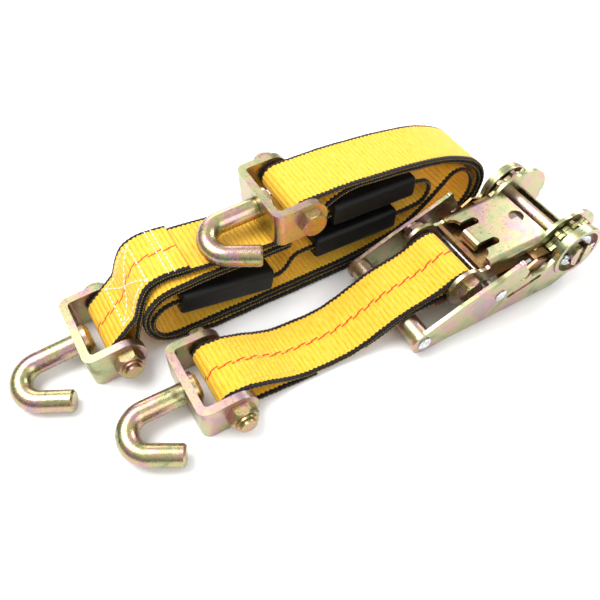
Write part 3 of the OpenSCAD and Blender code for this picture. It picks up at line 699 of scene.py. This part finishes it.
class StrapWebbingSettings(bpy.types.PropertyGroup):
    width: metres("Width", "Width of the webbing", 0.050)
    thickness: metres("Thickness", "Thickness of one ply", 0.0026)
    rib_pitch: metres("Rib pitch", "Distance between the woven ribs", 0.0038)
    selvedge: metres("Selvedge", "Width of the black edge on a face", 0.0030)
    tracer_gap: metres("Tracer gap", "Distance between the tracer yarns", 0.0015)
    tracer_pitch: metres("Tracer pitch", "Length of one tracer dash and gap", 0.0105)
    colour: hue("Colour", "Colour of the yarn", "#fbc01c")
    # Shade: the painted shade between the ribs, and also the darkest tone of the yarn's streaks
    shade: hue("Shade", "Colour between the ribs", "#d8940b")
    light: hue("Light", "Colour of the rib tops", "#ffcf42")
    tracer: hue("Tracer", "Colour of the tracer yarns", "#d8260f")


class StrapStitchSettings(bpy.types.PropertyGroup):
    pitch: metres("Stitch pitch", "Length of one stitch", 0.0042)
    radius: metres("Thread radius", "Half of the thread's thickness", 0.00055)
    seed: bpy.props.IntProperty(name="Seed", description="Varies the stitches", default=3)


class StrapMetalSettings(bpy.types.PropertyGroup):
    green: hue("Film green", "Main colour of the film on pressed plate", "#a5ad86")
    gold: hue("Film gold", "Second colour of that film", "#bbb286")
    pink: hue("Film pink", "Colour of that film's pink patches", "#c7a09a")
    violet: hue("Film violet", "Colour at the middle of the pink patches", "#b596a4")
    brown: hue("Film brown", "Colour of that film where it is thick", "#7e6a42")


class StrapRubberSettings(bpy.types.PropertyGroup):
    length: metres("Length", "Length of a block along the strap", 0.076)
    width: metres("Width", "Width of a block", 0.058)
    height: metres("Height", "Height of a block", 0.020)
    colour: hue("Colour", "Colour of the rubber", "#060708")


class StrapSpringSettings(bpy.types.PropertyGroup):
    coil_radius: metres("Coil radius", "Radius of the coils", 0.0019)
    wire_radius: metres("Wire radius", "Half of the wire's thickness", 0.0004)


class StrapStageSettings(bpy.types.PropertyGroup):
    floor: hue("Floor", "Colour of the floor", "#fbfbfb")


# ---- operators ---------------------------------------------------------------------

STRAPS = {}


def straps():
    """The two straps' middle lines, made once."""
    if not STRAPS:
        STRAPS["short"] = Strap(front_route(), 0.75)
        STRAPS["long"] = Strap(long_route(), 1.0)
    return STRAPS


def weave(context, key, bulge, seed, *tracer):
    """Weaves a strap's webbing: the piece, its Strap and its width in millimetres."""
    settings = context.scene.strap_webbing
    width, thick = settings.width * 1000, settings.thickness * 1000
    strap = straps()[key]
    obj = make_strap(f"{key}_strap_webbing", strap, width, thick, settings.rib_pitch * 1000,
                     bulge, seed)
    obj.data.materials.append(webbing_material(
        f"woven polyester, {key} strap", width, thick, settings, *tracer))
    return obj, strap, width


class WeaveFrontStrap(bpy.types.Operator):
    """Makes the short strap from its ratchet to its hook"""
    bl_idname = "strap_set.weave_front"
    bl_label = "Weave the short strap"

    def execute(self, context):
        obj, strap, width = weave(context, "short", 0.08, 1.3, 1, 40.0, 1e4)
        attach(obj, "front_strap")
        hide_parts("front_webbing")
        return {"FINISHED"}


class WeaveLongStrap(bpy.types.Operator):
    """Makes the long strap in its folded bundle"""
    bl_idname = "strap_set.weave_long"
    bl_label = "Weave the long strap"

    def execute(self, context):
        obj, strap, width = weave(context, "long", 0.10, 4.1, -1, -1.0, 150.0)
        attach(obj, ROOT)
        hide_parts("long_webbing")
        return {"FINISHED"}


def stitch_rows(name, strap, rows, rise, body, tree, settings):
    """Rows of stitches on a strap; each row is a list of (along, across) corners in mm."""
    verts, edges = [], []
    for row in rows:
        for (s0, a0), (s1, a1) in zip(row, row[1:]):
            n = max(2, round(math.hypot(s1 - s0, a1 - a0) / 1.4))
            first = len(verts)
            for i in range(n + 1):
                t = i / n
                verts.append(strap.place(s0 + (s1 - s0) * t, a0 + (a1 - a0) * t, rise))
            edges += [(first + i, first + i + 1) for i in range(n)]
    obj = mesh_object(name, verts, edges=edges, smooth=False)
    grow(obj, tree, Stitch_pitch=settings.pitch, Thread_radius=settings.radius, Seed=settings.seed)
    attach(obj, body)


def box_cross(s0, s1, half):
    """The rows of a box with a cross in it."""
    corners = [(s0, -half), (s1, -half), (s1, half), (s0, half), (s0, -half)]
    return [corners, [(s0, -half), (s1, half)], [(s0, half), (s1, -half)]]


class SewStitches(bpy.types.Operator):
    """Sews the straps' loops: white thread on the long strap, yellow on the short one"""
    bl_idname = "strap_set.sew"
    bl_label = "Sew the loops"

    def execute(self, context):
        settings = context.scene.strap_stitch
        white = stitch_tree(thread_material("bonded white thread", "#f2efe6", "#c9c4b6"))
        yellow = stitch_tree(thread_material("bonded yellow thread", "#f6cf4f", "#c99412"))
        strap = straps()["long"]
        rows = box_cross(31, 68, 18.5) + [[(11, -22), (11, 22)], [(15.5, -22), (15.5, 22)]]
        stitch_rows("long_strap_stitching", strap, rows, -1.5, ROOT, white, settings)
        strap = straps()["short"]
        rows = box_cross(108, 150, 18)
        stitch_rows("short_strap_stitching", strap, rows, 1.48, "front_strap", yellow, settings)
        return {"FINISHED"}


class MouldRubberBlocks(bpy.types.Operator):
    """Makes the three rubber blocks with rounded ends and a slot for the strap"""
    bl_idname = "strap_set.blocks"
    bl_label = "Mould the rubber blocks"

    def execute(self, context):
        settings = context.scene.strap_rubber
        material = rubber_material(settings.colour)
        # How far each block stands from the middle of its run, in millimetres
        shifts = (-1, 0, -2)
        for index, (run, shift) in enumerate(zip(BLOCK_RUNS, shifts)):
            name = f"rubber_block_{index + 1}"
            obj = self.block(f"grip_{name}", settings, run, shift)
            obj.data.materials.append(material)
            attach(obj, name)
            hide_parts(name)
        return {"FINISHED"}

    @staticmethod
    def block(name, settings, run, shift):
        """One block round the middle of its run, moved along it by shift."""
        corner_r, end_r, slot_r = 4.2, 2.4, 1.0
        slot_wide, slot_high, slot_flare, flare_long = 51.4, 4.0, 0.6, 1.2
        long, wide, high = (v * 1000 for v in (settings.length, settings.width, settings.height))
        p, q = run
        middle = Vector([(a + b) / 2 for a, b in zip(p, q)])
        slope = math.atan((q[2] - p[2]) / (q[0] - p[0]))
        along = Vector((math.cos(slope), 0, math.sin(slope)))
        up = Vector((-math.sin(slope), 0, math.cos(slope)))
        middle += along * shift
        verts, rows = [], []

        def add_row(x, w, h, r):
            """A rounded rectangle across the block at x, with seven points along each side."""
            def at(quarter, angle):
                sy, sz = ((1, 1), (-1, 1), (-1, -1), (1, -1))[quarter % 4]
                return (sy * (w / 2 - r) + r * math.cos(angle), sz * (h / 2 - r) + r * math.sin(angle))

            points = []
            for quarter in range(4):
                points += [at(quarter, math.pi / 2 * (quarter + k / 5)) for k in range(6)]
                start, end = points[-1], at(quarter + 1, math.pi / 2 * (quarter + 1))
                points += [tuple(a + (b - a) * t for a, b in zip(start, end))
                           for t in (k / 8 for k in range(1, 8))]
            rows.append(range(len(verts), len(verts) + len(points)))
            verts.extend(layout(middle + along * x + Vector((0, y, 0)) + up * z) for y, z in points)

        # Outside from end to end, then back through the slot
        half = long / 2
        end = [(half - end_r * (1 - math.sin(a)), end_r * (1 - math.cos(a)))
               for a in (math.pi / 2 * k / 5 for k in range(6))]
        body = [(-half + end_r + (long - 2 * end_r) * k / 12, 0.0) for k in range(1, 12)]
        stations = end + body + [(-x, inset) for x, inset in end]
        for x, inset in sorted({(round(x, 5), round(inset, 5)) for x, inset in stations}):
            add_row(x, wide - 2 * inset, high - 2 * inset, max(0.6, corner_r - inset))
        for x, flare in ((half, slot_flare), (half - flare_long, 0.0), (0.0, 0.0),
                         (flare_long - half, 0.0), (-half, slot_flare)):
            add_row(x, slot_wide + flare, slot_high + flare, slot_r)
        count = len(rows[0])
        faces = [(a[k], a[(k + 1) % count], b[(k + 1) % count], b[k])
                 for a, b in zip(rows, rows[1:] + rows[:1]) for k in range(count)]
        obj = mesh_object(name, verts, faces)
        # U round the block and V along it, at about a millimetre to the unit
        uv = obj.data.uv_layers.new(name="UVMap")
        for loop in obj.data.loops:
            row, col = divmod(loop.vertex_index, count)
            uv.data[loop.index].uv = (col * 2.4, row * 4.0)
        bm = bmesh.new()
        bm.from_mesh(obj.data)
        bmesh.ops.recalc_face_normals(bm, faces=bm.faces)
        bm.to_mesh(obj.data)
        bm.free()
        obj.data.set_sharp_from_angle(angle=math.radians(50))
        return obj


class WindSprings(bpy.types.Operator):
    """Winds the springs of the lock pawl and of the drive pawl"""
    bl_idname = "strap_set.springs"
    bl_label = "Wind the springs"

    def execute(self, context):
        settings = context.scene.strap_spring
        tree = coil_tree(bright_zinc_material())
        # In the ratchet's frame: the drive pawl's pull, the spindle's axis that the pawl
        # points at, and how far the spring lies above that line
        (px, pz), (sx, sz), above = (136.5, 11), (203, 27), 4.4
        pawl = math.atan((sz - pz) / (sx - px))
        drive = [ratchet((px + x * math.cos(pawl) - above * math.sin(pawl), 0,
                          pz + x * math.sin(pawl) + above * math.cos(pawl))) for x in (-2.4, 11.6)]
        lock = [ratchet((x, 0, 36)) for x in (132.4, 149.2)]
        self.spring("lock_pawl_coil", "lock_pawl_spring", ROOT, "lock_pawl_slide", lock, 7.0, 0.62,
                    settings, tree)
        self.spring("drive_pawl_coil", "drive_pawl_spring", "handle", "drive_pawl_slide", drive, 6.0,
                    0.6, settings, tree)
        return {"FINISHED"}

    @staticmethod
    def spring(name, node, body, joint, ends, turns, keep, settings, tree):
        """Winds one spring between its ends."""
        obj = mesh_object(name, [(0, 0, 0)], smooth=False)
        span = ends[1] - ends[0]
        grow(obj, tree, Turns=turns, Coil_radius=settings.coil_radius,
             Wire_radius=settings.wire_radius, Length=span.length)
        turn = Vector((1, 0, 0)).rotation_difference(span.normalized()).to_matrix().to_4x4()
        turn.translation = ends[0]
        obj.data.transform(turn)
        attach(obj, body)
        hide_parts(node)
        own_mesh(obj)


class PlateMetalwork(bpy.types.Operator):
    """Gives every hard CAD part its plated finish"""
    bl_idname = "strap_set.plate"
    bl_label = "Plate the metalwork"

    def execute(self, context):
        s = context.scene.strap_metal
        film = ((s.green, s.gold), (s.pink, s.violet))
        finishes = {
            "zinc_rod": plated_material("yellow zinc on forged rod", ("#a3a47c", "#b3a474"),
                                        ("#bf968f", "#a98a98"), "#716340", 0.26, 0.35, 16, 3.0),
            "zinc_plate": plated_material("yellow zinc on pressed plate", *film, s.brown,
                                          0.3, 0.3, 24, 1.0),
            "zinc_fastener": plated_material("yellow zinc on bolts", ("#9f9c72", "#b09862"),
                                             ("#b98d84", "#a08290"), "#63502c", 0.28, 0.4, 9, 7.0),
            "zinc_machined": plated_material("yellow zinc on cut steel", ("#a8aa82", "#b7aa7a"),
                                             ("#bf9d94", "#ab929c"), "#786744", 0.27, 0.3, 12, 5.0,
                                             streak=(1, 0.35, 1)),
            "bright_steel": bright_zinc_material(),
        }
        copper = plated_material("yellow zinc, brown film", ("#9a7a4e", "#a68455"),
                                 ("#a87a66", "#8d6468"), "#5a3c20", 0.3, 0.3, 14, 9.0)
        slots = {p["node"]: p["material_slot"] for p in frame["record"]["subparts"]}
        for node, finish in slots.items():
            if finish not in finishes:
                continue
            obj = frame["nodes"][node]
            material = copper if node in ("drive_pawl", "lock_pawl") else finishes[finish]
            obj.data.materials.clear()
            obj.data.materials.append(material)
        return {"FINISHED"}


class SetStage(bpy.types.Operator):
    """Sets the pale floor, the soft studio lights and the camera"""
    bl_idname = "strap_set.stage"
    bl_label = "Set the stage"

    def execute(self, context):
        scene = context.scene
        settings = scene.strap_stage
        far, drop = 30, -0.0005
        corners = [(-far, -far, drop), (far, -far, drop), (far, far, drop), (-far, far, drop)]
        floor = mesh_object("studio_floor", corners, [(0, 1, 2, 3)], smooth=False)
        material, tree, bsdf = new_material("matt white paper", Roughness=0.9, **{
            "Specular IOR Level": 0.1})
        tone = ramp(tree, noise(tree, object_place(tree), 3.0),
                    [(0.3, linear("#f7f7f7")), (0.7, linear(settings.floor))])
        tree.links.new(tone, bsdf.inputs["Base Color"])
        floor.data.materials.append(material)

        world = bpy.data.worlds.new("studio")
        world.use_nodes = True
        sky = world.node_tree
        where = add_node(sky, "ShaderNodeTexCoord").outputs["Generated"]
        rise = add_node(sky, "ShaderNodeSeparateXYZ", links={"Vector": where}).outputs["Z"]
        tones = ((0.0, 0.55), (0.12, 0.22), (0.45, 0.42), (0.8, 1.0))
        dome = ramp(sky, rise, [(height, grey(tone)) for height, tone in tones])
        seen = add_node(sky, "ShaderNodeLightPath").outputs["Is Camera Ray"]
        background = sky.nodes["Background"]
        sky.links.new(mix_colour(sky, seen, dome, grey(0.93)), background.inputs["Color"])
        background.inputs["Strength"].default_value = 1.0
        scene.world = world
        aim = Vector((0, 0, 0.03))
        for name, place, size, power in (
                ("key softbox", (-0.5, 0.35, 1.2), 0.9, 16.0),
                ("front fill", (0.3, -1.3, 0.8), 1.2, 9.0),
                ("right strip", (1.1, 0.3, 0.7), 0.5, 6.0),
                ("back rim", (0.2, 1.3, 0.6), 0.8, 6.0)):
            light = bpy.data.lights.new(name, "AREA")
            light.shape = "DISK"
            light.size = size
            light.energy = power
            obj = bpy.data.objects.new(name, light)
            obj.location = place
            obj.rotation_euler = (aim - Vector(place)).to_track_quat("-Z", "Y").to_euler()
            scene.collection.objects.link(obj)

        camera = bpy.data.cameras.new("camera")
        camera.sensor_width = 36.0
        camera.lens = FOCAL_SHARE * camera.sensor_width
        obj = bpy.data.objects.new("camera", camera)
        obj.location = layout(CAMERA_AT)
        obj.rotation_euler = (layout((0, 0, 0)) - obj.location).to_track_quat("-Z", "Y").to_euler()
        scene.collection.objects.link(obj)
        scene.camera = obj
        scene.view_settings.view_transform = "Standard"
        scene.view_settings.look = "None"
        return {"FINISHED"}


class StrapSetPanel(bpy.types.Panel):
    """Lists the settings and the steps in the sidebar"""
    bl_idname = "VIEW3D_PT_strap_set"
    bl_label = "Ratchet strap set"
    bl_space_type = "VIEW_3D"
    bl_region_type = "UI"
    bl_category = "Strap set"

    def draw(self, context):
        for group in GROUPS:
            settings = getattr(context.scene, group)
            box = self.layout.box()
            for key in settings.__annotations__:
                box.prop(settings, key)
        for step in STEPS_IN_ORDER:
            self.layout.operator(step.bl_idname)


GROUPS = {
    "strap_webbing": StrapWebbingSettings,
    "strap_stitch": StrapStitchSettings,
    "strap_metal": StrapMetalSettings,
    "strap_rubber": StrapRubberSettings,
    "strap_spring": StrapSpringSettings,
    "strap_stage": StrapStageSettings,
}
STEPS_IN_ORDER = (SetStage, WeaveFrontStrap, WeaveLongStrap, SewStitches, MouldRubberBlocks,
                  WindSprings, PlateMetalwork)


def register():
    for group, settings in GROUPS.items():
        bpy.utils.register_class(settings)
        setattr(bpy.types.Scene, group, bpy.props.PointerProperty(type=settings))
    for step in STEPS_IN_ORDER:
        bpy.utils.register_class(step)
    bpy.utils.register_class(StrapSetPanel)


def unregister():
    bpy.utils.unregister_class(StrapSetPanel)
    for step in reversed(STEPS_IN_ORDER):
        bpy.utils.unregister_class(step)
    for group, settings in reversed(list(GROUPS.items())):
        delattr(bpy.types.Scene, group)
        bpy.utils.unregister_class(settings)


def main():
    register()
    for step in STEPS_IN_ORDER:
        family, name = step.bl_idname.split(".")
        getattr(getattr(bpy.ops, family), name)()
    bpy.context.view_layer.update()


if __name__ == "__main__":
    main()
